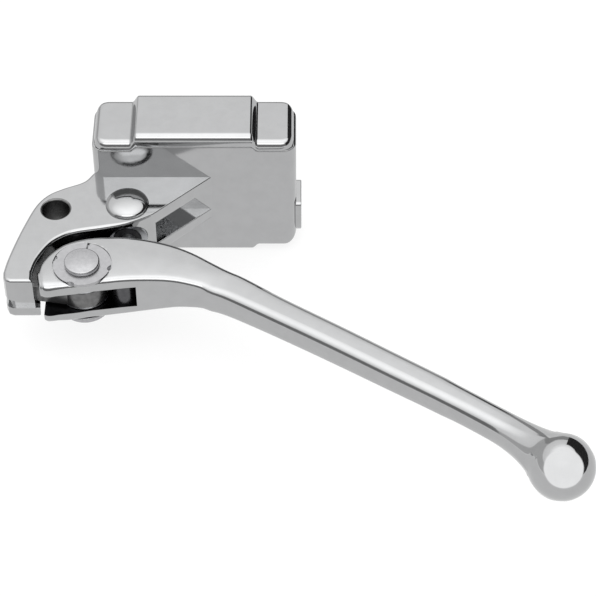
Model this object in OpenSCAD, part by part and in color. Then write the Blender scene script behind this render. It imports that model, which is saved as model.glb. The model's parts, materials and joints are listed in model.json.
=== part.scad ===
// Handlebar front brake master cylinder with ball-end lever, for a 1 inch (25.4 mm) bar.
// Millimetres. The origin is on the handlebar axis, halfway along the saddle.
// +X runs along the bar toward the lever tip, +Y toward the rider's side of the bar,
// +Z is parallel to the lever pivot, toward the reservoir cover.

/* [Handlebar saddle] */
// Handlebar diameter
bar_d = 25.4; // [22:0.1:32]
// Distance of the four clamp screws from the bar axis
clamp_screw_z = 15.2; // [14:0.1:18]
// Distance of the clamp screws from mid-width
clamp_screw_x = 25.5; // [24:0.1:27]
// Clamp screw tapping hole diameter (M5)
clamp_screw_d = 4.2; // [3:0.1:6]
// Clamp screw hole depth
clamp_screw_l = 7.4; // [5:0.1:8]

/* [Box] */
// Width of the reservoir box along the bar
box_w = 62; // [50:1:80]
// Front wall distance from the bar axis
wall_y = 26; // [22:0.5:32]
// Back wall distance from the bar axis
back_y = 5.5; // [3:0.5:10]
// Half height of the raised middle section
mid_h = 20.4; // [16:0.1:26]
// Half height of the recessed end sections
end_h = 18.8; // [15:0.1:25]
// How far the underside sits below the mirrored top
foot = 2.8; // [0:0.1:5]
// Half width of the raised middle section
step_x = 17.4; // [10:0.1:25]
// Sideways run of the slope between middle and end sections
step_run = 1.6; // [0.5:0.1:4]
// Radius of the vertical box corners
box_r = 4; // [1:0.5:8]
// Thickness of the pad on the outboard side
pad_t = 1.6; // [0.5:0.1:4]
// Wall thickness of the fluid chamber
chamber_wall = 3; // [2:0.1:5]

/* [Bracket] */
// Half thickness of the lever bracket
bracket_h = 8; // [6:0.5:12]
// Thickness of the top web plate
plate_t = 4.2; // [3:0.1:6]
// Top of the lower web plate
lower_top = -5.6; // [-8:0.1:-3]
// Underside of the lower web plate
lower_bot = -9.2; // [-12:0.1:-7]
// Mirror stem hole diameter
mirror_d = 8; // [6:0.1:12]
// Width of the cylinder block in front of the wall
barrel_w = 17; // [15:0.5:22]

/* [Cover] */
// Cover thickness on the middle section
cover_mid = 4.3; // [2:0.1:6]
// Cover thickness on the end sections
cover_end = 3.3; // [2:0.1:5]
// Inset of the cover from the box sides
cover_inset = 0.8; // [0:0.1:2]
// Gasket thickness
gasket_t = 0.4; // [0.2:0.1:1]

/* [Lever] */
// Half height of the fork
fork_h = 8; // [6:0.5:10]
// Half height of the slot in the fork
slot_h = 4.05; // [3:0.05:5]
// Ball end diameter
ball_d = 19; // [16:0.5:22]
// Arm diameter at the fork
arm_d1 = 9.6; // [8:0.1:12]
// Arm diameter before the ball
arm_d2 = 8.8; // [7:0.1:12]

/* [Pivot] */
// Pivot pin diameter
pin_d = 10.4; // [8:0.1:12]
// Pivot pin head diameter
pin_head_d = 15; // [12:0.5:18]
// Retaining ring outside diameter
ring_d = 17; // [14:0.5:20]
// Retaining ring thickness
ring_t = 1; // [0.6:0.1:1.6]
// Radius of the bracket tongue round the pivot
tongue_r = 7.6; // [7:0.1:9]
// Half thickness of the bracket tongue
tongue_h = 3.1; // [2:0.1:4]
// Bushing wall thickness
bush_t = 1; // [0.6:0.1:1.6]

/* [Hydraulics] */
// Cylinder bore diameter (7/16 inch)
bore_d = 11.1; // [9.5:0.1:14]
// Distance of the push point from the lever pivot
push_r = 12; // [9:0.5:14]
// Lever travel in degrees
lever_travel = 16; // [8:1:18]
// Running clearance of the piston
piston_gap = 0.05; // [0.02:0.01:0.1]
// Return spring wire diameter
wire_d = 0.9; // [0.6:0.1:1.4]
// Return spring turns
turns = 4; // [3:1:7]
// Hose port tapping diameter (M10)
port_d = 9; // [8:0.1:11]
// Hose port thread length
port_l = 6.8; // [5:0.1:8]
// Domed passage plug diameter
dome_d = 13; // [10:0.5:15]

/* [Cover screws] */
// Cover screw diameter
screw_d = 3.5; // [3:0.1:4]
// Distance of the cover screws from mid-width
screw_x = 26.6; // [24:0.1:28]
// Distance of the cover screws in front of the bar axis
screw_y = 15.8; // [14:0.1:18]
// Screw head diameter
screw_head = 6; // [5:0.1:7]

/* [Hidden] */
$fn = 64;
eps = 0.01;
piv = [-32, -62];
bore_x = piv[0] + push_r;
bore_y0 = -43.2;
bore_y1 = -20.5;
bore_r = bore_d / 2;
half_w = box_w / 2;
bush_r = pin_d / 2 + bush_t;
ring_z = fork_h - 0.9;
rest_a = -lever_travel / 2;
push_x = piv[0] + push_r * cos(rest_a);
push_y = piv[1] + push_r * sin(rest_a);
push_pin_r = 3.6;
stroke = 2 * push_r * sin(lever_travel / 2);
saddle_r = bar_d / 2;
port_at = [-18.4, -19.8];
port_seat_z = -mid_h - foot + port_l;
dome_y = -37.1;

chrome = [0.82, 0.83, 0.84];
steel = [0.62, 0.63, 0.65];
brass = [0.78, 0.62, 0.32];
rubber = [0.08, 0.08, 0.08];
alloy = [0.70, 0.71, 0.72];
nylon = [0.90, 0.88, 0.80];

// ---------- curves ----------
// Smooth closed or open curve through hand-set points (Catmull-Rom), n steps per span
function cr(a, b, c, d, t) = 0.5 * (2 * b + (c - a) * t + (2 * a - 5 * b + 4 * c - d) * t * t
    + (3 * b - a - 3 * c + d) * t * t * t);
function open_curve(p, n = 4) = let (m = len(p)) concat(
    [for (i = [0:m - 2]) for (k = [0:n - 1])
        cr(p[max(i - 1, 0)], p[i], p[i + 1], p[min(i + 2, m - 1)], k / n)], [p[m - 1]]);

// Outer edge of the bracket from the box corner down to the hook
outer_edge = [[-31, -23], [-33.9, -26.9], [-39.9, -29.8], [-44.4, -32.7], [-47.7, -37.4],
    [-50.5, -45.4], [-52.7, -53.3], [-54.3, -60.3], [-55, -65]];
// Inner edge facing the lever, from the hook round to the tip of the web
inner_edge = [[-46.2, -69], [-46.4, -65], [-45.2, -59.6], [-42, -53.4], [-38.2, -50],
    [-34, -48.3], [-27, -46.9], [-19.4, -45], [-12, -41.3]];
web_tip = [4.2, -26.2];

// Lever hub outline in plan, starting at the nose and running along the rider's side
hub_back = [[-44.1, -64.5], [-43.7, -61.6], [-42.4, -58.6], [-39.8, -55], [-36.2, -52.1],
    [-30.6, -50.3], [-25, -49.9], [-19.4, -49.9], [-11.6, -50.8], [-4, -52.9], [2.5, -56.2],
    [8.6, -60.2]];
hub_front = [[8, -70.4], [3, -68.6], [-7, -67.1], [-18.2, -67.8], [-25.8, -68.9],
    [-33, -70.3], [-38.6, -71.3], [-42.6, -71.7]];

// Arm centre line from the neck to the ball
arm_path = [[3, -62.6], [11.4, -67.1], [25, -75.3], [41.7, -86], [57.9, -96.6], [74.5, -107.5],
    [89.6, -118.6]];
ball_c = [104.1, -131.6];

module rounded_rect(x0, x1, y0, y1, r) {
    for (x = [x0 + r, x1 - r]) for (y = [y0 + r, y1 - r]) translate([x, y]) circle(r);
    translate([x0 + r, y0]) square([x1 - x0 - 2 * r, y1 - y0]);
    translate([x0, y0 + r]) square([x1 - x0, y1 - y0 - 2 * r]);
}

// Stepped profile across the box: raised middle, lower ends
module step_profile(w, top_mid, top_end, bot_mid, bot_end, run) {
    polygon([[-w, bot_end], [-step_x - run, bot_end], [-step_x, bot_mid], [step_x, bot_mid],
        [step_x + run, bot_end], [w, bot_end], [w, top_end], [step_x + run, top_end],
        [step_x, top_mid], [-step_x, top_mid], [-step_x - run, top_end], [-w, top_end]]);
}

module along_y(y0, y1) translate([0, y1, 0]) rotate([90, 0, 0]) linear_extrude(y1 - y0) children();
module rod_y(x, y0, y1, r, z = 0) translate([x, y1, z]) rotate([90, 0, 0]) cylinder(h = y1 - y0, r = r);
module rod_z(x, y, z0, z1, r) translate([x, y, z0]) cylinder(h = z1 - z0, r = r);

// ---------- body casting ----------
module bracket_plan() polygon(concat(open_curve(outer_edge),
    [[-54.6, -67.6], [-53.2, -69]], open_curve(inner_edge), [web_tip, [6, -25], [6, -23.5]]));

module bracket() {
    difference() {
        union() {
            // top web plate and the thick arm that carries the pivot
            translate([0, 0, bracket_h - plate_t]) linear_extrude(plate_t) bracket_plan();
            translate([0, 0, -bracket_h]) linear_extrude(2 * bracket_h - 1) difference() {
                bracket_plan();
                translate([bore_x + barrel_w / 2, -60]) square([60, 60]);
            }
            // lower web plate
            translate([0, 0, lower_bot]) linear_extrude(lower_top - lower_bot) intersection() {
                bracket_plan();
                translate([bore_x - barrel_w / 2, -60]) square([60, 60]);
            }
        }
        // shallow groove round the hook
        translate([0, 0, -3.6]) linear_extrude(3.2) difference() {
            translate([-62, -72]) square([20, 8.5]);
            translate([1.1, 1.1]) bracket_plan();
        }
    }
    // toe of the hook under its groove
    translate([0, 0, -bracket_h]) linear_extrude(bracket_h - 3.6)
        polygon([[-48, -69], [-44.7, -69], [-45, -65], [-46.2, -60.5], [-48, -60]]);
    // tongue between the fork plates
    translate([0, 0, -tongue_h]) linear_extrude(2 * tongue_h) {
        translate(piv) circle(tongue_r);
        polygon([[-46.5, -66.4], [-36, -68.2], [-30, -55.2], [-40.6, -52.2], [-46, -58]]);
    }
}

module box_solid() {
    intersection() {
        along_y(-wall_y, -back_y)
            step_profile(half_w, mid_h, end_h, -mid_h - foot, -end_h - foot, step_run);
        translate([0, 0, -40]) linear_extrude(80)
            rounded_rect(-half_w, half_w, -wall_y, -back_y, box_r);
    }
    // outboard side pad
    translate([half_w - 8, -wall_y + 3, -19.4]) cube([8 + pad_t, 11.7, 13.4]);
    // flat boss round the hose port
    rod_z(port_at[0], port_at[1], -mid_h - foot, -10, 6);
}

module chamber() {
    floor_z = -15;
    y0 = -wall_y + chamber_wall;
    // deep well beside the barrel, in front of the saddle
    translate([-11.5, y0, floor_z]) cube([33, 7.6, mid_h - floor_z + 5]);
    // wide upper part over the saddle
    translate([-21.4, y0, 13.6]) cube([42.9, -back_y - chamber_wall - y0, 20]);
    // inlet well over the barrel
    translate([bore_x - 1.4, y0, 6.4]) cube([5, 5, 10]);
}

module cylinder_body() color(chrome) difference() {
    union() {
        box_solid();
        bracket();
        // barrel through the front wall
        rod_y(bore_x, -30, -17.4, 8);
    }
    chamber();
    // handlebar saddle
    translate([-half_w - 5, 0, 0]) rotate([0, 90, 0]) cylinder(h = box_w + 10, r = saddle_r, $fn = 128);
    // mirror stem hole with a rounded rim
    rod_z(-41.4, -39.1, -12, 12, mirror_d / 2);
    translate([-41.4, -39.1, bracket_h - 0.5]) cylinder(h = 0.6, r1 = mirror_d / 2, r2 = mirror_d / 2 + 0.6);
    // pivot bushing seat
    rod_z(piv[0], piv[1], -12, 12, bush_r);
    // bore with seal counterbore and circlip groove
    rod_y(bore_x, bore_y0 - 8, bore_y1, bore_r);
    rod_y(bore_x, bore_y0 - 8, bore_y0 + 2.4, 6.1);
    rod_y(bore_x, bore_y0 + 2.8, bore_y0 + 3.9, 6.1);
    // recess of the passage plug, and the feed drilling from it to the chamber
    rod_z(bore_x, dome_y, bracket_h - 1.4, 12, dome_d / 2 - 1);
    rod_y(bore_x, dome_y, -wall_y + chamber_wall + 1, 0.5, bracket_h - 1);
    // vent port behind the primary cup and compensating port just ahead of it
    rod_z(bore_x, -33.7, 4, 7, 0.7);
    rod_z(bore_x, -28.2, 4, 7, 0.35);
    // hose port from below with its drilling to the bore end
    rod_z(port_at[0], port_at[1], -30, port_seat_z, port_d / 2);
    rod_z(port_at[0], port_at[1], port_seat_z - 1, port_seat_z + 3.8, 3.8);
    rod_z(port_at[0], port_at[1] - 0.8, -15, 0, 1.2);
    // cover screw holes and head pockets
    for (s = [-1, 1]) {
        rod_z(s * screw_x, -screw_y, -30, 30, screw_d / 2 + 0.15);
        rod_z(s * screw_x, -screw_y, -30, -end_h - foot + 2.4, screw_head / 2 + 0.3);
    }
    // tapped holes for the rear clamp half
    for (x = [-1, 1]) for (z = [-1, 1])
        rod_y(x * clamp_screw_x, -back_y - clamp_screw_l, 2, clamp_screw_d / 2, z * clamp_screw_z);
}

// ---------- cover ----------
module cover_plan(inset, y0, y1, r) rounded_rect(-half_w + inset, half_w - inset, y0, y1, r);

module reservoir_cover() color(chrome) difference() {
    intersection() {
        along_y(-wall_y + 0.4, -back_y)
            step_profile(half_w, mid_h + cover_mid, end_h + cover_end, mid_h + gasket_t,
                end_h + gasket_t, step_run);
        translate([0, 0, 10]) linear_extrude(30) cover_plan(cover_inset, -wall_y + 0.4, -back_y, box_r);
    }
    for (s = [-1, 1]) rod_z(s * screw_x, -screw_y, 10, end_h + cover_end - 0.8, 2.5);
}

module cover_gasket() color(rubber) difference() {
    intersection() {
        along_y(-wall_y + 1.2, -back_y - 0.8)
            step_profile(half_w, mid_h + gasket_t, end_h + gasket_t, mid_h, end_h, step_run);
        translate([0, 0, 10]) linear_extrude(30)
            cover_plan(cover_inset + 0.8, -wall_y + 1.2, -back_y - 0.8, box_r);
    }
    translate([-14, -wall_y + 5, 10]) cube([28, 10, 20]);
    for (s = [-1, 1]) rod_z(s * screw_x, -screw_y, 10, 30, 2.5);
}

module cover_inserts() color(brass) for (s = [-1, 1]) difference() {
    rod_z(s * screw_x, -screw_y, end_h + gasket_t, end_h + cover_end - 0.8, 2.5);
    rod_z(s * screw_x, -screw_y, 10, end_h + cover_end - 1.1, screw_d / 2);
}

module cover_screws() color(steel) for (s = [-1, 1]) difference() {
    union() {
        rod_z(s * screw_x, -screw_y, -end_h - foot + 1.9, end_h + cover_end - 1.4, screw_d / 2);
        rod_z(s * screw_x, -screw_y, -end_h - foot - 0.6, -end_h - foot + 1.9, screw_head / 2);
    }
    translate([s * screw_x, -screw_y, -end_h - foot - 1]) cylinder(h = 2, r = 1.6, $fn = 6);
}

module cover_screw_washers() color(steel) for (s = [-1, 1]) difference() {
    rod_z(s * screw_x, -screw_y, -end_h - foot + 1.9, -end_h - foot + 2.4, screw_head / 2 + 0.1);
    rod_z(s * screw_x, -screw_y, -30, 30, screw_d / 2 + 0.1);
}

module slosh_baffle() color(steel) difference() {
    translate([-11.4, -wall_y + chamber_wall + 0.1, 12.2]) cube([32.8, 7.4, 0.8]);
    for (i = [0:4]) rod_z(-7 + 6 * i, -19.2, 10, 15, 1.1);
}

module passage_plug() color(chrome) {
    rod_z(bore_x, dome_y, bracket_h - 1.4, bracket_h + 0.3, dome_d / 2 - 1);
    translate([bore_x, dome_y, bracket_h]) difference() {
        translate([0, 0, -8.4]) sphere(r = 10.6);
        translate([-15, -15, -30]) cube([30, 30, 30]);
    }
}

module hose_seat() color(brass) translate([port_at[0], port_at[1], port_seat_z + 2.4]) difference() {
    union() {
        cylinder(h = 1.4, r = 3.7);
        translate([0, 0, -2.1]) cylinder(h = 2.2, r1 = 1.6, r2 = 3);
    }
    translate([0, 0, -3]) cylinder(h = 6, r = 1);
}

// ---------- lever ----------
module hub_plan() polygon(concat(open_curve(hub_back), open_curve(hub_front)));

// Side view of the fork: full height at the pivot, tapering toward the arm
module hub_side() polygon([[-46, -fork_h], [-25, -fork_h], [-18, -7.7], [-7, -6.8], [3, -5.6],
    [10, -4.8], [10, 4.8], [3, 5.6], [-7, 6.8], [-18, 7.7], [-25, fork_h], [-46, fork_h]]);

module arm() {
    n = len(arm_path);
    for (i = [0:n - 2]) hull() for (k = [0, 1]) translate([arm_path[i + k][0], arm_path[i + k][1], 0])
        sphere(d = arm_d1 + (arm_d2 - arm_d1) * (i + k) / (n - 1), $fn = 28);
    hull() {
        translate([arm_path[n - 1][0], arm_path[n - 1][1], 0]) sphere(d = arm_d2, $fn = 28);
        translate([98.6, -126, 0]) sphere(d = 12.4, $fn = 28);
    }
    translate([ball_c[0], ball_c[1], 0]) sphere(d = ball_d);
}

module brake_lever() color(chrome) difference() {
    union() {
        intersection() {
            translate([0, 0, -fork_h]) linear_extrude(2 * fork_h) hub_plan();
            along_y(-80, -40) hub_side();
        }
        arm();
    }
    // slot that takes the bracket tongue, open at the nose
    translate([0, 0, -slot_h]) linear_extrude(2 * slot_h)
        polygon([[-60, -80], [-17.4, -80], [-16.4, -69], [-12.3, -49], [-12, -40], [-60, -40]]);
    // pivot pin bore
    rod_z(piv[0], piv[1], -12, 12, pin_d / 2);
    // reaction pin pocket, blind at the top, and its clip groove
    rod_z(push_x, push_y, -12, fork_h - 2, push_pin_r + 0.04);
    rod_z(push_x, push_y, -6.9, -6.1, push_pin_r + 0.5);
    // counterbore that the retaining ring lies in
    rod_z(piv[0], piv[1], fork_h - 0.9, 12, ring_d / 2 + 0.3);
}

module pivot_pin() color(steel) translate([piv[0], piv[1], 0]) difference() {
    union() {
        translate([0, 0, -fork_h]) cylinder(h = 2 * fork_h + 1, r = pin_d / 2);
        translate([0, 0, -fork_h - 1.8]) cylinder(h = 1.8, r = pin_head_d / 2);
        // mildly domed end
        intersection() {
            translate([0, 0, fork_h + 1.9 - 20]) sphere(r = 20, $fn = 96);
            translate([0, 0, fork_h + 0.6]) cylinder(h = 3, r = pin_d / 2);
        }
    }
    translate([0, 0, ring_z]) difference() {
        cylinder(h = ring_t, r = pin_d);
        cylinder(h = ring_t, r = pin_d / 2 - 0.9);
    }
}

// Split retaining ring, sunk into the lever's top face, with three shallow notches round it
module pivot_ring() color(steel) translate([piv[0], piv[1], ring_z]) linear_extrude(ring_t)
    difference() {
        circle(d = ring_d);
        circle(r = pin_d / 2 - 0.84);
        rotate(80) translate([0, -0.35]) square([12, 0.7]);
        for (a = [-12, -110, 165]) rotate(a) translate([ring_d / 2 + 0.5, 0]) circle(1.3);
    }

module pivot_bushing() color(brass) difference() {
    rod_z(piv[0], piv[1], -tongue_h, tongue_h, bush_r);
    rod_z(piv[0], piv[1], -12, 12, pin_d / 2 + 0.04);
}

module thrust_washers() color(steel) for (z = [-tongue_h - 0.6, tongue_h]) difference() {
    rod_z(piv[0], piv[1], z, z + 0.6, tongue_r - 0.2);
    rod_z(piv[0], piv[1], -12, 12, pin_d / 2 + 0.06);
}

module reaction_pin() color(steel) difference() {
    rod_z(push_x, push_y, -5.9, fork_h - 2.3, push_pin_r);
    // socket for the pushrod tip, facing the bore
    rod_y(push_x, push_y + 0.7, push_y + 6, 2.7);
}

module reaction_clip() color(steel) translate([push_x, push_y, -6.8]) linear_extrude(0.6) difference() {
    circle(push_pin_r + 0.4);
    circle(push_pin_r - 0.6);
    rotate(-90) translate([0, -1.6]) square([6, 3.2]);
}

// ---------- hydraulics ----------
module pushrod() color(steel) {
    translate([bore_x, push_y + 3.4, 0]) sphere(r = 2.4);
    rod_y(bore_x, push_y + 3.4, -36.6, 2.4);
}

module dust_seal() color(rubber) difference() {
    union() {
        rod_y(bore_x, bore_y0 + 0.4, bore_y0 + 2.4, 6.1);
        rod_y(bore_x, bore_y0 - 0.8, bore_y0 + 0.4, 4.2);
    }
    rod_y(bore_x, -60, -20, 2.48);
}

// Pressed steel ring that holds the dust seal in
module seal_retainer() color(steel) difference() {
    rod_y(bore_x, bore_y0 - 0.5, bore_y0 + 0.4, 6.06);
    rod_y(bore_x, -60, -20, 4.3);
}

module bore_circlip() color(steel) translate([bore_x, bore_y0 + 3.8, 0]) rotate([90, 0, 0])
    linear_extrude(0.9) difference() {
        circle(6);
        circle(4.4);
        rotate(-90) translate([0, -2.2]) square([8, 4.4]);
    }

module stop_washer() color(steel) difference() {
    rod_y(bore_x, bore_y0 + 3.9, bore_y0 + 4.6, bore_r - 0.05);
    rod_y(bore_x, -60, -20, 3);
}

module piston() color(alloy) difference() {
    r = bore_r - piston_gap;
    union() {
        // rear land, cup groove, middle land, waist, front flange, nose
        rod_y(bore_x, -38.3, -37.2, r);
        rod_y(bore_x, -37.2, -35.6, 3.6);
        rod_y(bore_x, -35.6, -34.8, r);
        rod_y(bore_x, -34.8, -32.6, 4);
        rod_y(bore_x, -32.6, -31.2, r);
        rod_y(bore_x, -31.2, -29.6, 2);
    }
    rod_y(bore_x, -50, -36.6, 2.5);
}

module secondary_cup() color(rubber) difference() {
    rod_y(bore_x, -37.2, -35.6, bore_r - 0.02);
    rod_y(bore_x, -50, -20, 3.6);
}

module primary_cup() color(rubber) difference() {
    rod_y(bore_x, -31.2, -28.6, bore_r - 0.02);
    rod_y(bore_x, -50, -20, 2);
    translate([bore_x, -28.5, 0]) rotate([90, 0, 0]) cylinder(h = 1.4, r1 = 4.9, r2 = 3.8);
}

module spring_seat() color(nylon) difference() {
    union() {
        rod_y(bore_x, -29.9, -29.1, 3.7);
        rod_y(bore_x, -29.1, -28.2, 2.6);
    }
    rod_y(bore_x, -40, -29.6, 2);
}

// Stacked turns of the return spring
module return_spring() color(steel) {
    len_s = -20.5 - (-29.1);
    r = 3.5;
    pitch = (len_s - wire_d) / turns;
    for (i = [0:turns]) translate([bore_x, -29.1 + wire_d / 2 + i * pitch, 0]) rotate([90, 0, 0])
        rotate_extrude() translate([r, 0]) circle(wire_d / 2, $fn = 16);
    for (i = [0:turns - 1])
        rod_y(bore_x + (i % 2 == 0 ? r : -r), -29.1 + wire_d / 2 + i * pitch,
            -29.1 + wire_d / 2 + (i + 1) * pitch, wire_d / 2 - 0.05);
}

cylinder_body();
reservoir_cover();
cover_gasket();
cover_screws();
cover_screw_washers();
cover_inserts();
slosh_baffle();
passage_plug();
hose_seat();
brake_lever();
pivot_pin();
pivot_ring();
pivot_bushing();
thrust_washers();
reaction_pin();
reaction_clip();
pushrod();
dust_seal();
seal_retainer();
bore_circlip();
stop_washer();
piston();
secondary_cup();
primary_cup();
spring_seat();
return_spring();
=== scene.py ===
"""Looks of a handlebar brake master cylinder with a ball-end lever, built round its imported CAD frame."""
import json
import math

import bmesh
import bpy
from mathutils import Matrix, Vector


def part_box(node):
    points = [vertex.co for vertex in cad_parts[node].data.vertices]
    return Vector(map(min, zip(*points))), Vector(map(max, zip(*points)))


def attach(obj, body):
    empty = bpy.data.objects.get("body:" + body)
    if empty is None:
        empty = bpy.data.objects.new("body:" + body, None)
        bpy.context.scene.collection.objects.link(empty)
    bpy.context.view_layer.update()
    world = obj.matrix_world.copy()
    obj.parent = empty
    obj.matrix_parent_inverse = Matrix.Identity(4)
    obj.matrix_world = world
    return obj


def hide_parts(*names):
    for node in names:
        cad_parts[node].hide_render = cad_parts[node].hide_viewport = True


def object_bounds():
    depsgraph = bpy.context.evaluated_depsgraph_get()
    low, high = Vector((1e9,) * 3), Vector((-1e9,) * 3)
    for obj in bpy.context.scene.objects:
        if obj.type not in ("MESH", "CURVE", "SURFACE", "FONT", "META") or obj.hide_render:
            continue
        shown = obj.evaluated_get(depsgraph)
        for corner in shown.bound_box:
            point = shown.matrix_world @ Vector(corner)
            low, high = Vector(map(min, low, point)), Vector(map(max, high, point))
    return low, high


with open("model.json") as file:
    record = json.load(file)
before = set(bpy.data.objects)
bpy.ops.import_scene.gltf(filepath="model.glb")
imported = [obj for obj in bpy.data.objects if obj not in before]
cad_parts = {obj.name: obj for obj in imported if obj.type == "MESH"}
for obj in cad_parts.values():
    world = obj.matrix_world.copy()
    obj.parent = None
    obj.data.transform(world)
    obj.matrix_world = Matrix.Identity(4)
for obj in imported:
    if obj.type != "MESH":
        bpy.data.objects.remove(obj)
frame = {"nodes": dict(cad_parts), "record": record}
cad_box = [list(corner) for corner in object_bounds()]

MM = 0.001  # every length below is in millimetres until it becomes a mesh

# ---------- driving dimensions, as in the CAD ----------
BOX_HALF_WIDTH = 31.0
WALL_Y = -26.0
BACK_Y = -5.5
MID_TOP, END_TOP = 20.4, 18.8
MID_BOTTOM, END_BOTTOM = -23.2, -21.4
STEP_X = 17.4
COVER_MID_TOP, COVER_END_TOP = 24.7, 22.1
GASKET = 0.4
COVER_INSET = 0.8
SADDLE_R = 12.7
BRACKET_H = 8.0
PIVOT = (-32.0, -62.0)
BORE_X = -20.0
PUSH = (-20.117, -63.67)
DOME_Y = -37.1
MIRROR_HOLE = (-41.4, -39.1)
PORT = (-18.4, -19.8)
SLOT_H = 4.05
RING_Z = 7.1
BALL = Vector((104.1, -131.6, 0.0))
BALL_R = 9.5
SCREW_X, SCREW_Y = 26.6, -15.8
CLAMP_X, CLAMP_Z = 25.5, 15.2
TONGUE_H, TONGUE_R = 3.1, 7.6
BORE_R, SEAL_R, BUSH_R, PIN_R = 5.55, 6.1, 6.2, 5.2
REACTION_R, RING_RECESS_R, PLUG_R = 3.65, 8.8, 5.5
# The front wall leans back by this much per millimetre of height. The CAD wall is upright and the photo
# shows no lean: it makes the wall and the bracket's top reflect different lights.
WALL_LEAN = 0.021


# ---------- mesh building ----------
def catmull(points, steps):
    """A smooth curve through points that have any number of coordinates each."""
    last = len(points) - 1
    out = []
    for i in range(last):
        near = [points[max(0, min(last, i + k))] for k in (-1, 0, 1, 2)]
        for k in range(steps):
            t = k / steps
            out.append([
                0.5 * (
                    2 * b + (c - a) * t + (2 * a - 5 * b + 4 * c - d) * t * t
                    + (3 * b - a - 3 * c + d) * t ** 3
                )
                for a, b, c, d in zip(*near)
            ])
    out.append(list(points[-1]))
    return out


def solid(name, verts, faces):
    """A closed mesh object from points in millimetres, with its faces turned outward."""
    mesh = bpy.data.meshes.new(name)
    mesh.from_pydata([[c * MM for c in v] for v in verts], [], faces)
    bm = bmesh.new()
    bm.from_mesh(mesh)
    bmesh.ops.remove_doubles(bm, verts=bm.verts, dist=0.002 * MM)
    bmesh.ops.recalc_face_normals(bm, faces=bm.faces)
    bm.to_mesh(mesh)
    bm.free()
    obj = bpy.data.objects.new(name, mesh)
    bpy.context.scene.collection.objects.link(obj)
    return obj


def loft(name, rings):
    """Skin over rings of equal point count, closed by a face at each end."""
    n = len(rings[0])
    verts = [p for ring in rings for p in ring]
    faces = [
        (i * n + j, i * n + (j + 1) % n, (i + 1) * n + (j + 1) % n, (i + 1) * n + j)
        for i in range(len(rings) - 1) for j in range(n)
    ]
    faces += [tuple(range(n))[::-1], tuple(range(len(verts) - n, len(verts)))]
    return solid(name, verts, faces)


def inset(loop, d, share=None):
    """A closed plan loop moved inward by d, mitred at its corners. share(x) scales the move."""
    n = len(loop)
    area = sum(loop[i - 1][0] * loop[i][1] - loop[i][0] * loop[i - 1][1] for i in range(n))
    side = 1 if area > 0 else -1
    out = []
    for i in range(n):
        p, q, r = (Vector(loop[k % n][:2]) for k in (i - 1, i, i + 1))
        a, b = (q - p).normalized(), (r - q).normalized()
        mean = (Vector((-a.y, a.x)) + Vector((-b.y, b.x))) * side
        half = max(mean.length_squared / 4, 0.18)
        out.append(tuple(q + mean * 0.5 * d * (share(q.x) if share else 1) / half))
    return out


def quarter(radius, steps=4):
    """(inset, drop) pairs round a quarter circle, from the side face to the flat one."""
    turns = [math.pi / 2 * k / steps for k in range(steps + 1)]
    return [(radius * (1 - math.cos(t)), radius * (1 - math.sin(t))) for t in turns]


def slab(name, outline, z0, z1, bottom_r=0.3, top_r=0.3, steps=4, share=None):
    """A plan outline between two heights, with rounded rims."""
    low, high = reversed(quarter(bottom_r, steps)), quarter(top_r, steps)
    rings = [[(*p, z0 + drop) for p in inset(outline, d, share)] for d, drop in low]
    rings += [[(*p, z1 - drop) for p in inset(outline, d, share)] for d, drop in high]
    return loft(name, rings)


LEAST_R = 0.01  # where a turned profile stops, just short of its axis


def lathe(name, profile, centre, turns=72, axis="Z"):
    """A turned solid from (radius, height) pairs. The axis runs through centre."""
    rings = []
    for radius, height in profile:
        ring = []
        for k in range(turns):
            a = 2 * math.pi * k / turns
            u, v = (max(radius, LEAST_R) * f(a) for f in (math.cos, math.sin))
            local = {"Z": (u, v, height), "Y": (u, height, v), "X": (height, u, v)}[axis]
            ring.append([c + o for c, o in zip(centre, local)])
        rings.append(ring)
    return loft(name, rings)


def rod(start, end, radius, axis="Z", turns=48):
    """A plain round bar to cut with, from start to the height end along an axis."""
    return lathe("cutter", [(radius, 0), (radius, end)], start, turns, axis)


def block(x0, x1, y0, y1, z0, z1):
    """A plain block to cut with."""
    return loft("cutter", [[(x0, y0, z), (x1, y0, z), (x1, y1, z), (x0, y1, z)] for z in (z0, z1)])


def relax(obj, chosen, times):
    """Evens out the surface where chosen(point in millimetres) holds."""
    bm = bmesh.new()
    bm.from_mesh(obj.data)
    verts = [v for v in bm.verts if chosen(v.co / MM)]
    for _ in range(times):
        bmesh.ops.smooth_vert(
            bm, verts=verts, factor=0.5, use_axis_x=True, use_axis_y=True, use_axis_z=True
        )
    bm.to_mesh(obj.data)
    bm.free()


def painted(obj, finish_name):
    """Gives obj a finish, which a cut made with it leaves on the faces that it cuts."""
    obj.data.materials.clear()
    obj.data.materials.append(FINISHES[finish_name])
    return obj


def bake(obj):
    """Applies the modifiers."""
    depsgraph = bpy.context.evaluated_depsgraph_get()
    mesh = bpy.data.meshes.new_from_object(obj.evaluated_get(depsgraph))
    obj.modifiers.clear()
    obj.data = mesh
    return obj


def combine(obj, *others, how="DIFFERENCE"):
    """Cuts the others from obj, or joins them to it, and removes them."""
    for other in others:
        for piece in (obj, other):
            if not piece.data.materials:
                painted(piece, "chrome_casting")
        modifier = obj.modifiers.new("combine", "BOOLEAN")
        modifier.operation = how
        modifier.solver = "EXACT"
        modifier.material_mode = "TRANSFER"
        modifier.object = other
        bake(obj)
        bpy.data.objects.remove(other)
    return obj


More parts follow.
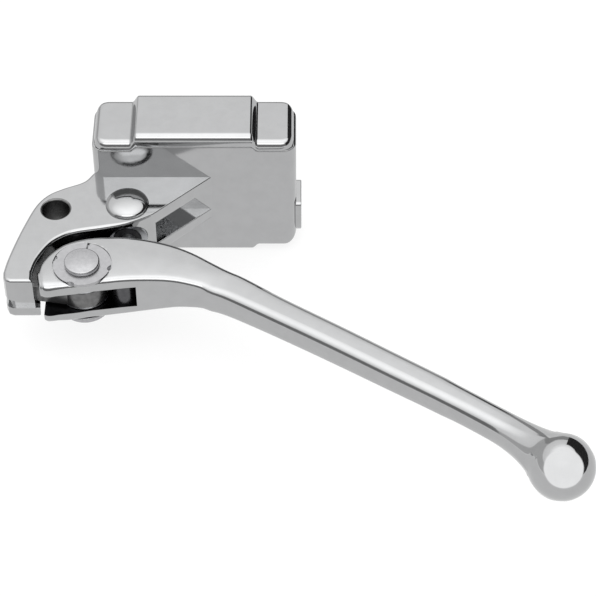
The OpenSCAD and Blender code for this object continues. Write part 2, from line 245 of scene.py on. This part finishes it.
def finish_edges(obj, width=0.25, angle=32, segments=2, sharp=50):
    """Rounds the edges left by cutting and gives flats flat shading."""
    if width:
        modifier = obj.modifiers.new("edges", "BEVEL")
        modifier.width = width * MM
        modifier.segments = segments
        modifier.limit_method = "ANGLE"
        modifier.angle_limit = math.radians(angle)
        modifier.use_clamp_overlap = True
        bake(obj)
    obj.data.shade_smooth()
    obj.data.set_sharp_from_angle(angle=math.radians(sharp))
    modifier = obj.modifiers.new("normals", "WEIGHTED_NORMAL")
    modifier.keep_sharp = True
    return obj


# ---------- materials ----------
def material(name, colour, metallic, roughness, spread, bump, grain, tint, lines=False):
    """A procedural finish. Roughness and colour vary by spread and tint, and bump lifts a fine grain."""
    mat = bpy.data.materials.new(name)
    mat.use_nodes = True
    nodes, links = mat.node_tree.nodes, mat.node_tree.links
    shader = nodes["Principled BSDF"]
    shader.inputs["Metallic"].default_value = metallic
    place = nodes.new("ShaderNodeTexCoord")
    stretch = nodes.new("ShaderNodeMapping")
    stretch.inputs["Scale"].default_value = (1, 1, 14) if lines else (1, 1, 1)
    links.new(place.outputs["Object"], stretch.inputs["Vector"])
    broad, fine = nodes.new("ShaderNodeTexNoise"), nodes.new("ShaderNodeTexNoise")
    for noise, scale, detail in ((broad, 60, 4), (fine, grain, 6)):
        noise.inputs["Scale"].default_value = scale
        noise.inputs["Detail"].default_value = detail
        links.new(stretch.outputs["Vector"], noise.inputs["Vector"])
    rough = nodes.new("ShaderNodeMapRange")
    rough.inputs["From Min"].default_value = 0.3
    rough.inputs["From Max"].default_value = 0.7
    rough.inputs["To Min"].default_value = roughness - spread
    rough.inputs["To Max"].default_value = roughness + spread
    links.new(broad.outputs["Fac"], rough.inputs["Value"])
    links.new(rough.outputs["Result"], shader.inputs["Roughness"])
    ramp = nodes.new("ShaderNodeValToRGB")
    ramp.color_ramp.elements[0].position = 0.35
    ramp.color_ramp.elements[1].position = 0.65
    ramp.color_ramp.elements[0].color = (*[c * (1 - tint) for c in colour], 1)
    ramp.color_ramp.elements[1].color = (*[min(1, c * (1 + tint)) for c in colour], 1)
    links.new(fine.outputs["Fac"], ramp.inputs["Fac"])
    links.new(ramp.outputs["Color"], shader.inputs["Base Color"])
    if bump:
        lift = nodes.new("ShaderNodeBump")
        lift.inputs["Strength"].default_value = bump
        lift.inputs["Distance"].default_value = 0.05 * MM
        links.new(fine.outputs["Fac"], lift.inputs["Height"])
        links.new(lift.outputs["Normal"], shader.inputs["Normal"])
    return mat


# Colour, metallic, roughness, its spread, bump, grain scale, tint and whether turning lines show.
# The greys of chrome, pin and ring were fitted together with the lights. They are no measured reflectances.
FINISHES = {
    "chrome_casting": material("chrome_plate", (0.455, 0.458, 0.462), 1, 0.085, 0.03, 0.03, 260, 0.02),
    "chrome_lever": material("chrome_lever_plate", (0.465, 0.468, 0.472), 1, 0.10, 0.03, 0.03, 240, 0.02),
    # bare metal, darkened further as painted shade, for bores and wells and for the tongue and its root
    # between the parts
    "bare_metal_and_painted_shade": material("bare_metal_and_painted_shade", (0.17, 0.17, 0.17), 1, 0.28, 0.08, 0.2, 700, 0.15),
    # near-black painted shade for the faces of the lever's fork slot, standing in for the shade inside it
    "slot_painted_shade": material("slot_painted_shade", (0.030, 0.030, 0.032), 1, 0.30, 0.08, 0.3, 500, 0.2),
    "oxide_steel": material("oxide_steel", (0.10, 0.10, 0.105), 1, 0.28, 0.06, 0.1, 900, 0.1),
    "pin_steel": material("pin_steel", (0.43, 0.43, 0.44), 1, 0.22, 0.05, 0.08, 900, 0.05),
    "ring_steel": material("ring_steel", (0.42, 0.42, 0.43), 1, 0.30, 0.05, 0.08, 900, 0.05),
    "zinc_steel": material("zinc_steel", (0.55, 0.56, 0.58), 1, 0.34, 0.08, 0.12, 700, 0.08),
    "spring_wire": material("spring_wire", (0.42, 0.42, 0.43), 1, 0.30, 0.06, 0.12, 900, 0.10, True),
    "brass_insert": material("brass_insert", (0.72, 0.53, 0.24), 1, 0.28, 0.06, 0.10, 700, 0.08, True),
    "bronze": material("bronze", (0.55, 0.36, 0.20), 1, 0.36, 0.08, 0.15, 900, 0.12),
    "piston_alloy": material("piston_alloy", (0.78, 0.78, 0.76), 1, 0.32, 0.06, 0.10, 900, 0.05, True),
    "rubber_black": material("rubber_black", (0.018, 0.018, 0.020), 0, 0.62, 0.12, 0.35, 1200, 0.25),
    "white_nylon": material("white_nylon", (0.80, 0.78, 0.70), 0, 0.45, 0.08, 0.12, 800, 0.05),
}
SLOT_OF = {part["node"]: part["material_slot"] for part in frame["record"]["subparts"]}


def finish(obj, body, slot, *stands_for):
    """Material, body, slot and the CAD nodes that the piece stands for."""
    if not obj.data.materials:
        obj.data.materials.append(FINISHES[slot])
    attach(obj, body)
    if stands_for:
        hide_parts(*stands_for)
    return obj


# ---------- box and cover ----------
def ease(t):
    """Smooth step from 0 to 1."""
    t = max(0.0, min(1.0, t))
    return t * t * (3 - 2 * t)


def stepped(x, middle, end):
    """Height of the raised middle or the lower ends at x, with a filleted slope between."""
    run = 2.2
    return end + (middle - end) * ease((STEP_X + run - 0.3 - abs(x)) / run)


def end_round(t, r):
    """How far a rounded corner of radius r draws in at distance t from the end face."""
    return r - math.sqrt(max(0.0, r * r - (r - t) ** 2)) if t < r else 0.0


def section(y0, y1, z0, z1, corners, steps=5):
    """Rounded rectangle in a plane across the box.

    Corners are radii: front low, back low, back top, front top.
    """
    places = [(y0, z0, 1, 1, 180), (y1, z0, -1, 1, 270), (y1, z1, -1, -1, 0), (y0, z1, 1, -1, 90)]
    out = []
    for (y, z, sy, sz, start), r in zip(places, corners):
        for k in range(steps + 1):
            a = math.radians(start + 90 * k / steps)
            out.append((y + sy * r + r * math.cos(a), z + sz * r + r * math.sin(a)))
    return out


def stations(half):
    """Places across the box, close together where it rounds or steps."""
    ends = [half - 4.2 * (1 - math.cos(math.pi / 2 * k / 9)) for k in range(10)]
    slope = [STEP_X + 2.1 - 2.6 * k / 9 for k in range(10)]
    right = ends + [24.0] + slope + [12.0, 6.0]
    return [-x for x in right] + [0.0] + right[::-1]


def across(name, half, y0, y1, lows, tops, low_r, top_r, plan_r, corners, lean=0.0):
    """A stepped block across X. lows and tops are (middle, end) heights. The front leans back by lean."""
    rings = []
    for x in stations(half):
        t = half - abs(x)
        side = end_round(t, plan_r)
        low = stepped(x, *lows) + end_round(t, low_r)
        top = stepped(x, *tops) - end_round(t, top_r)
        rings.append([
            (x, y + (lean * (z - low) if y < (y0 + y1) / 2 else 0), z)
            for y, z in section(y0 + side, y1 - side, low, top, corners)
        ])
    return loft(name, rings)


def cover_casting():
    """Stepped cover with its two screw seats.

    Known fault: in the outer 0.6 mm at each end the section is lower than its corner radii. It folds over
    itself there and reaches 1.6 mm below the gasket plane, into the body.
    """
    lo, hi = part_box("reservoir_cover")
    cover = across(
        "cover_casting", BOX_HALF_WIDTH - COVER_INSET, lo.y / MM, hi.y / MM,
        (MID_TOP + GASKET, END_TOP + GASKET), (COVER_MID_TOP, COVER_END_TOP),
        0.3, 2.2, 4.0, (0.25, 0.25, 2.0, 2.3),
    )
    for side in (-1, 1):
        combine(cover, rod((side * SCREW_X, SCREW_Y, END_TOP - 2), 3.9, 2.5))
    return finish_edges(cover, 0)


# the bracket's outline, in order round it
OUTER_EDGE = [
    (-28.5, -21), (-31, -23), (-33.9, -26.9), (-39.9, -29.8), (-44.4, -32.7), (-47.7, -37.4),
    (-50.5, -45.4), (-52.7, -53.3), (-54.3, -60.3), (-55, -65),
]
HOOK_CORNER = [(-54.8, -67.0), (-54.1, -68.4), (-52.7, -69)]
HOOK_INNER = (-46.2, -69)
INNER_EDGE = [
    (-46.4, -65), (-45.2, -59.6), (-42, -53.4), (-38.2, -50), (-34, -48.3),
    (-27, -46.9), (-19.4, -45), (-12, -41.3),
]
WEB_TIP = [(6.5, -24.06), (6.5, -21)]
HOOK_TOE = [(-52, -68.98), (-44.7, -68.98), (-45, -65), (-46.3, -60.5), (-52, -58)]
TONGUE_ROOT = [(-46.5, -66.4), (-36, -68.2), (-30, -55.2), (-40.6, -52.2), (-46, -58)]
GROOVE_REGION = [(-62, -72), (-42, -72), (-42, -63.5), (-62, -63.5)]
GROOVE_DEPTH, GROOVE_LOW, GROOVE_HIGH = 1.1, -3.6, -0.4


def rim_share(x):
    """Share of the rim's inset at x: full on the bracket and less on the web."""
    return 0.35 + 0.65 * ease((-14 - x) / 12) if x > -40 else 1


def bracket_plan():
    """The bracket's closed outline. The hook's inner corner stays sharp, between the two curves."""
    return catmull(OUTER_EDGE, 6) + HOOK_CORNER + [HOOK_INNER] + catmull(INNER_EDGE, 6) + WEB_TIP


def body_casting():
    """Box, bracket, tongue and barrel as one casting, with its holes.

    Known faults: the finished mesh has 8 open edges at two corners of the web gap, and 141 edges shared by
    more than two faces, some of them at the tongue.
    The CAD pad's lower front corner stands up to 1.9 mm outside this one's rounding.
    """
    box = across(
        "body_casting", BOX_HALF_WIDTH, WALL_Y, BACK_Y, (MID_BOTTOM, END_BOTTOM), (MID_TOP, END_TOP),
        3.5, 0.8, 4.0, (1.6, 1.2, 0.5, 0.5), WALL_LEAN,
    )
    pad = section(-23, -11.3, -19.4, -6, (4.5, 4.5, 1.2, 1.2))
    pad_rim = ((23, 0), (32.3, 0), (32.5, 0.08), (32.6, 0.3))
    pad_side = loft("cutter", [[(x, *p) for p in inset(pad, d)] for x, d in pad_rim])
    boss = lathe("cutter", [(5.4, MID_BOTTOM), (6, MID_BOTTOM + 0.6), (6, -10)], (*PORT, 0), 64)
    plan = bracket_plan()
    bracket = slab("cutter", plan, -BRACKET_H, BRACKET_H, 2.0, 1.1, 6, rim_share)
    combine(bracket, block(-11.5, 20, -60, WALL_Y + 0.3, -5.6, 3.8))  # the gap between the web plates
    groove = loft("cutter", [[(*p, z) for p in GROOVE_REGION] for z in (GROOVE_LOW, GROOVE_HIGH)])
    core = [(x + GROOVE_DEPTH, y + GROOVE_DEPTH) for x, y in plan]
    combine(groove, slab("cutter", core, -12, 12, 0.1, 0.1, 1))
    combine(bracket, groove)
    # the toe stops just short of the bracket's own faces, so that no two faces coincide
    toe = slab("cutter", HOOK_TOE, 0.02 - BRACKET_H, GROOVE_LOW - 0.02, 2.0, 0.15, 6)
    lower = slab("cutter", plan, -9.2, -5.2, 0.6, 0.3)
    combine(lower, block(-70, -28.5, -80, -10, -20, 20))
    turns = [math.pi * k / 36 for k in range(72)]
    eye = [(PIVOT[0] + TONGUE_R * math.cos(a), PIVOT[1] + TONGUE_R * math.sin(a)) for a in turns]
    tongue = slab("cutter", eye, -TONGUE_H, TONGUE_H, 0.3, 0.3, 3)
    root = slab("cutter", TONGUE_ROOT, -TONGUE_H, TONGUE_H, 0.2, 0.2, 2)
    barrel = rod((BORE_X, -30, 0), 12.6, 8, "Y")
    # the tongue and its root get darkened bare metal as painted shade in the gap round the lever's hub
    for piece in (tongue, root):
        painted(piece, "bare_metal_and_painted_shade")
    combine(box, pad_side, boss, bracket, toe, lower, tongue, root, barrel, how="UNION")
    flare = [(4, -12), (4, 7.2), (4.08, 7.5), (4.3, 7.8), (4.75, 8.02), (4.75, 9)]
    saddle = rod((-40, 0, 0), 80, SADDLE_R, "X", 128)
    wells = [
        block(-11.5, 21.5, -23, -15.4, -15, 25),
        block(-21.4, 21.5, -23, -8.5, 13.6, 25),
        block(-21.4, -16.4, -23, -18, 6.4, 16.4),
    ]
    holes = [
        lathe("cutter", flare, (*MIRROR_HOLE, 0), 64),
        rod((*PIVOT, -12), 24, BUSH_R),
        rod((BORE_X, -51, 0), 30.5, BORE_R, "Y", 64),
        rod((BORE_X, -51, 0), 10.2, SEAL_R, "Y", 64),
        rod((BORE_X, DOME_Y, BRACKET_H - 1.4), 5, PLUG_R),
        rod((*PORT, -30), 13.6, 4.5),
        rod((*PORT, -17), 4.4, 3.8),
    ]
    for side in (-1, 1):
        holes += [rod((side * SCREW_X, SCREW_Y, -30), height, r) for height, r in ((60, 1.9), (10.8, 3.3))]
        holes += [rod((side * CLAMP_X, BACK_Y - 7.4, up * CLAMP_Z), 12, 2.1, "Y") for up in (-1, 1)]
    # the faces cut by wells and holes get bare metal darkened as painted shade
    for cutter in wells + holes:
        painted(cutter, "bare_metal_and_painted_shade")
    combine(box, *wells, saddle, *holes)
    return finish_edges(box, 0.22)


# ---------- lever ----------
# back point, front point, half height and edge radius along the hub and neck
HUB = [
    (-44.7, -63.6, -43.3, -71.3, 7.7, 2.4), (-44.1, -60.7, -42.4, -71.7, 8, 2.6),
    (-42.9, -57.9, -41.0, -71.7, 8, 2.6), (-40.8, -55.2, -39.2, -71.3, 8, 2.4),
    (-37.7, -52.8, -36.6, -70.9, 8, 1.9), (-34.2, -51.2, -33.4, -70.4, 8, 1.9),
    (-30.2, -50.2, -29.6, -69.6, 8, 1.9), (-25, -49.8, -25, -68.9, 8, 1.9),
    (-19.4, -49.8, -19.6, -68.1, 7.9, 1.9), (-13.6, -50.4, -14, -67.5, 7.5, 1.9),
    (-8, -51.5, -8.4, -67.1, 6.95, 1.9), (-3.4, -52.9, -4.4, -67.1, 6.4, 1.9),
    (1, -54.9, -0.8, -67.6, 5.9, 1.9), (5.6, -57.6, 2.8, -68.5, 5.4, 2.0),
    (11.2, -60.9, 5.5, -70.1, 5.0, 2.2),
]
# centre, half width, half height and edge radius along the arm
ARM = [
    (13.4, -68.0, 5.3, 4.8, 2.5), (25, -75.4, 4.95, 4.6, 2.8), (41.7, -86, 4.8, 4.5, 2.9),
    (57.9, -96.6, 4.7, 4.35, 2.9), (74.5, -107.5, 4.6, 4.2, 2.9), (87.0, -116.4, 4.6, 4.2, 3.0),
    (92.4, -120.7, 5.1, 4.75, 3.8), (96.6, -124.4, 6.3, 5.9, 5.5), (100.2, -127.8, 7.9, 7.8, 7.8),
]
# Measured against the CAD lever, the nose ends 1.2 mm further out above mid height and 0.7 mm short of it
# below. Where the hub runs into the arm the surfaces are up to 1.7 mm apart, and at the neck up to 1.1 mm.
NOSE_R, NOSE_REACH = 0.9, 0.8
LOWER_NOSE_X = -43.4  # the nose is cut back to here below mid height
NECK_FROM, NECK_TO = 74, -6.5  # evened out beyond this X and up to this distance before the ball's centre
FORK_SLOT = [(-60, -80), (-17.4, -80), (-16.4, -69), (-12.3, -49), (-12, -40), (-60, -40)]


def lever_stations():
    """(centre, across, half width, half height, edge radius) along the lever."""
    rows = [list(r) for r in HUB]
    centres = [Vector(r[:2]) for r in ARM]
    for i, (x, y, w, h, r) in enumerate(ARM):
        before = centres[max(i - 1, 0)]
        after = centres[i + 1] if i + 1 < len(ARM) else BALL.xy
        along = (after - before).normalized()
        side = Vector((-along.y, along.x)) * w
        rows.append([x + side.x, y + side.y, x - side.x, y - side.y, h, r])
    return catmull(rows, 5)


def lever_ring(back, front, h, r, crown, steps=5, flat=6):
    """A rounded box section between a back and a front point, crowned on its faces."""
    centre = (back + front) / 2
    half = (back - front).length / 2
    out = back - front
    out.normalize()
    r_side, r_up = min(r, half), min(r, h)
    quadrant = []
    for k in range(flat):
        u = (half - r_side) * k / flat
        quadrant.append((u, h - crown * (u / half) ** 2))
    for k in range(steps + 1):
        a = math.pi / 2 * (1 - k / steps)
        edge = half - r_side
        fall = crown * (edge / half) ** 2
        quadrant.append((edge + r_side * math.cos(a), h - r_up + r_up * math.sin(a) - fall * math.sin(a)))
    top = quadrant + [(half, 0.5 * (h - r_up))]
    loop = top + [(half, 0.0)] + [(u, -z) for u, z in reversed(top)]
    loop += [(-u, z) for u, z in reversed(loop[1:-1])]
    return [(*(centre + out * u), z) for u, z in loop]


def nose_rings(nose):
    """Sections that round off the lever's end, from its tip to the first station."""
    back, front = Vector(nose[:2]), Vector(nose[2:4])
    middle = (back + front) / 2
    rings = []
    for k in range(6):
        a = math.pi / 2 * k / 6
        keep = math.sin(a) if k else 0.02
        lost = NOSE_R * (1 - keep)
        forward = Vector((-NOSE_R * NOSE_REACH * math.cos(a), 0))
        draw = 1 - lost / ((back - front).length / 2)
        ends = [middle + (p - middle) * draw + forward for p in (back, front)]
        rings.append(lever_ring(*ends, nose[4] - lost, nose[5], 0.25))
    return rings


def lever_forging():
    """Forked hub, arm and ball as one forging, with its holes.

    Known fault: the finished mesh has 4 short edges shared by more than two faces, at the ring's recess.
    """
    rows = lever_stations()
    rings = nose_rings(rows[0])
    for row in rows:
        crown = 0.3 if row[4] > 5 else 0.12
        rings.append(lever_ring(Vector(row[:2]), Vector(row[2:4]), row[4], row[5], crown))
    along = (BALL.xy - Vector(ARM[-1][:2])).normalized()
    side = Vector((-along.y, along.x))
    for k in range(1, 20):
        a = math.radians(125 - 125 * k / 19.3)
        middle = BALL.xy + along * BALL_R * math.cos(a)
        r = BALL_R * math.sin(a)
        rings.append(lever_ring(middle + side * r, middle - side * r, r, r, 0.0))
    lever = loft("lever_forging", rings)
    relax(lever, lambda p: p.x > NECK_FROM and (p.xy - BALL.xy).dot(along) < NECK_TO, 5)
    painted(lever, "chrome_lever")
    cutters = [
        # the fork slot's faces get near-black painted shade
        painted(loft("cutter", [[(*p, z) for p in FORK_SLOT] for z in (-SLOT_H, SLOT_H)]), "slot_painted_shade"),
        # the pin and reaction bores get bare metal darkened as painted shade
        painted(rod((*PIVOT, -12), 24, PIN_R), "bare_metal_and_painted_shade"),
        painted(rod((*PUSH, -12), 18, REACTION_R), "bare_metal_and_painted_shade"),
        painted(rod((*PIVOT, RING_Z), 4, RING_RECESS_R, turns=96), "chrome_lever"),
        painted(block(-60, LOWER_NOSE_X, -80, -40, -12, 0), "chrome_lever"),
    ]
    combine(lever, *cutters)
    return finish_edges(lever, 0.15, 40)


# ---------- turned parts ----------
def passage_plug():
    """Domed plug with a thin groove round it."""
    rim, edge, top = 6.5, 0.3, 2.2
    dome = [(PLUG_R, BRACKET_H - 1.4), (PLUG_R, BRACKET_H - 0.1), (5.9, BRACKET_H - 0.1)]
    dome += [(5.9, BRACKET_H + 0.02), (rim - 0.15, BRACKET_H + 0.02), (rim, BRACKET_H + 0.15)]
    for k in range(15):
        a = math.pi / 2 * k / 14
        dome.append((rim * 0.985 * math.cos(a) ** 0.9, BRACKET_H + edge + (top - edge) * math.sin(a)))
    return finish_edges(lathe("plug_domed", dome, (BORE_X, DOME_Y, 0), 96), 0)


def pivot_pin():
    """Headed pin with a groove for the ring and a slightly domed end."""
    lo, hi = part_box("pivot_pin")
    z0, z1 = lo.z / MM, hi.z / MM
    head, r, groove = 7.5, PIN_R, 4.3
    profile = [(6.9, z0), (7.3, z0 + 0.12), (head, z0 + 0.4), (head, -8.35), (7.35, -8.1), (7.1, -8.0)]
    profile += [(r, -8), (r, RING_Z), (groove, RING_Z), (groove, RING_Z + 1), (r - 0.1, RING_Z + 1)]
    profile += [(r, RING_Z + 1.1), (r, z1 - 0.75)]
    for k in range(1, 9):
        a = math.pi / 2 * k / 8
        profile.append((r - 0.5 + 0.5 * math.cos(a), z1 - 0.75 + 0.35 * math.sin(a)))
    profile += [(3.6, z1 - 0.18), (2.2, z1 - 0.06), (0.9, z1 - 0.01), (0.0, z1)]
    return finish_edges(lathe("pin_turned", profile, (*PIVOT, 0), 96), 0)


finish(body_casting(), "housing", "chrome_casting", "cylinder_body")
finish(cover_casting(), "housing", "chrome_casting", "reservoir_cover")
finish(passage_plug(), "housing", "chrome_casting", "passage_plug")
finish(lever_forging(), "lever", "chrome_lever", "brake_lever")
finish(pivot_pin(), "lever", "pin_steel", "pivot_pin")

for node, obj in frame["nodes"].items():
    if obj.hide_render:
        continue
    obj.data.materials.clear()
    obj.data.materials.append(FINISHES[SLOT_OF[node]])


# ---------- stage ----------
def arc(name, start, end, low, high, strength, radius=3.0, turns=24):
    """A curved card round the object between two azimuths and elevations, in degrees. Azimuth 0 is +X."""
    verts = []
    for e in (low, high):
        z = radius * math.tan(math.radians(e))
        for k in range(turns + 1):
            a = math.radians(start + (end - start) * k / turns)
            verts.append((radius * math.cos(a), radius * math.sin(a), z))
    faces = [(k, k + 1, turns + k + 2, turns + k + 1) for k in range(turns)]
    return card(name, verts, faces, emitter(name, strength))


def emitter(name, strength):
    """Plain white light from a surface."""
    mat = bpy.data.materials.new(name)
    mat.use_nodes = True
    nodes = mat.node_tree.nodes
    nodes.remove(nodes["Principled BSDF"])
    glow = nodes.new("ShaderNodeEmission")
    glow.inputs["Color"].default_value = (1, 1, 1, 1)
    glow.inputs["Strength"].default_value = strength
    mat.node_tree.links.new(glow.outputs["Emission"], nodes["Material Output"].inputs["Surface"])
    return mat


def soft_emitter(name, strength, inner, outer):
    """Light that fades out between two distances from the object's origin."""
    mat = emitter(name, strength)
    nodes, links = mat.node_tree.nodes, mat.node_tree.links
    kinds = ("ShaderNodeTexCoord", "ShaderNodeVectorMath", "ShaderNodeMapRange")
    place, far, fade = (nodes.new(kind) for kind in kinds)
    far.operation = "LENGTH"
    links.new(place.outputs["Object"], far.inputs[0])
    fade.inputs["From Min"].default_value, fade.inputs["From Max"].default_value = inner, outer
    links.new(far.outputs["Value"], fade.inputs["Value"])
    clear, mix = nodes.new("ShaderNodeBsdfTransparent"), nodes.new("ShaderNodeMixShader")
    links.new(fade.outputs["Result"], mix.inputs[0])
    links.new(nodes["Emission"].outputs["Emission"], mix.inputs[1])
    links.new(clear.outputs["BSDF"], mix.inputs[2])
    links.new(mix.outputs["Shader"], nodes["Material Output"].inputs["Surface"])
    return mat


def card(name, verts, faces, mat):
    """Something that shows only in reflections, and not to the camera or to matt surfaces."""
    mesh = bpy.data.meshes.new(name)
    mesh.from_pydata(verts, [], faces)
    mesh.materials.append(mat)
    obj = bpy.data.objects.new(name, mesh)
    bpy.context.scene.collection.objects.link(obj)
    obj.visible_camera = obj.visible_diffuse = obj.visible_shadow = False
    return obj


def sheet(z):
    """A square as wide as the studio at height z, as points and faces."""
    return [(x, y, z) for x, y in ((-4, -4), (4, -4), (4, 4), (-4, 4))], [(0, 1, 2, 3)]


def floor():
    """A pale floor that glows a little, and a greyer sheet just over it that only reflections see."""
    z = cad_box[0][2] - 0.0002
    verts, faces = sheet(z)
    mesh = bpy.data.meshes.new("studio_floor")
    mesh.from_pydata(verts, [], faces)
    obj = bpy.data.objects.new("studio_floor", mesh)
    bpy.context.scene.collection.objects.link(obj)
    pale = bpy.data.materials.new("pale_floor")
    pale.use_nodes = True
    shader = pale.node_tree.nodes["Principled BSDF"]
    shader.inputs["Base Color"].default_value = (0.2, 0.2, 0.2, 1)
    shader.inputs["Roughness"].default_value = 0.9
    shader.inputs["Specular IOR Level"].default_value = 0.1
    shader.inputs["Emission Color"].default_value = (1, 1, 1, 1)
    shader.inputs["Emission Strength"].default_value = 0.80
    mesh.materials.append(pale)
    card("floor_tone", *sheet(z + 0.0001), emitter("floor_tone", 0.90))


def sky():
    """A world that is nearly even at first and brightens toward the zenith."""
    world = bpy.data.worlds.new("studio")
    world.use_nodes = True
    nodes, links = world.node_tree.nodes, world.node_tree.links
    background = nodes["Background"]
    kinds = ("ShaderNodeTexCoord", "ShaderNodeSeparateXYZ", "ShaderNodeValToRGB")
    place, split, ramp = (nodes.new(kind) for kind in kinds)
    links.new(place.outputs["Generated"], split.inputs["Vector"])
    links.new(split.outputs["Z"], ramp.inputs["Fac"])
    links.new(ramp.outputs["Color"], background.inputs["Color"])
    ramp.color_ramp.elements.remove(ramp.color_ramp.elements[1])
    ramp.color_ramp.elements[0].position = 0.0
    ramp.color_ramp.elements[0].color = (0.52, 0.52, 0.52, 1)
    for height, level in ((0.45, 0.50), (0.70, 0.56), (0.86, 0.78), (1.0, 1.0)):
        ramp.color_ramp.elements.new(height).color = (level, level, level, 1)
    background.inputs["Strength"].default_value = 2.1
    bpy.context.scene.world = world


def ball_light():
    """A soft round light close in front of the ball's place at rest, facing the photo's view."""
    toward, side, up = Vector((0, -0.68, 0.73)), Vector((1, 0, 0)), Vector((0, 0.73, 0.68))
    reach, inner, outer, turns = 0.014, 0.020, 0.026, 48
    angles = [2 * math.pi * k / turns for k in range(turns)]
    disc = [tuple((side * math.cos(a) + up * math.sin(a)) * outer) for a in angles]
    light = card("ball_light", disc, [tuple(range(turns))], soft_emitter("ball_light", 1.63, inner, outer))
    light.location = BALL * MM + toward * reach


def camera():
    """The photo's view: square to the box's front and 47.2 degrees above it."""
    scene = bpy.context.scene
    lens = bpy.data.cameras.new("camera")
    lens.lens, lens.sensor_width = 132.9, 36
    lens.clip_start, lens.clip_end = 0.01, 20
    eye = bpy.data.objects.new("camera", lens)
    eye.location = (0.03153, -0.50898, 0.47597)
    eye.rotation_euler = (math.radians(42.8), 0, 0)
    scene.collection.objects.link(eye)
    scene.camera = eye
    scene.view_settings.view_transform = "Standard"


floor()
sky()
# tuned for the photo's view: dark bands at the horizon, and a bright one behind the camera
arc("front_flag", -150, -45, 3, 36, 0.26)
arc("right_flag", -45, 71, 0.5, 46, 0.03)
arc("back_flag", 71, 120, 2, 24, 0.42)
arc("left_flag", 120, 210, 2, 24, 0.65)
arc("key_card", -125, -55, 44.6, 62, 2.6)
ball_light()
camera()
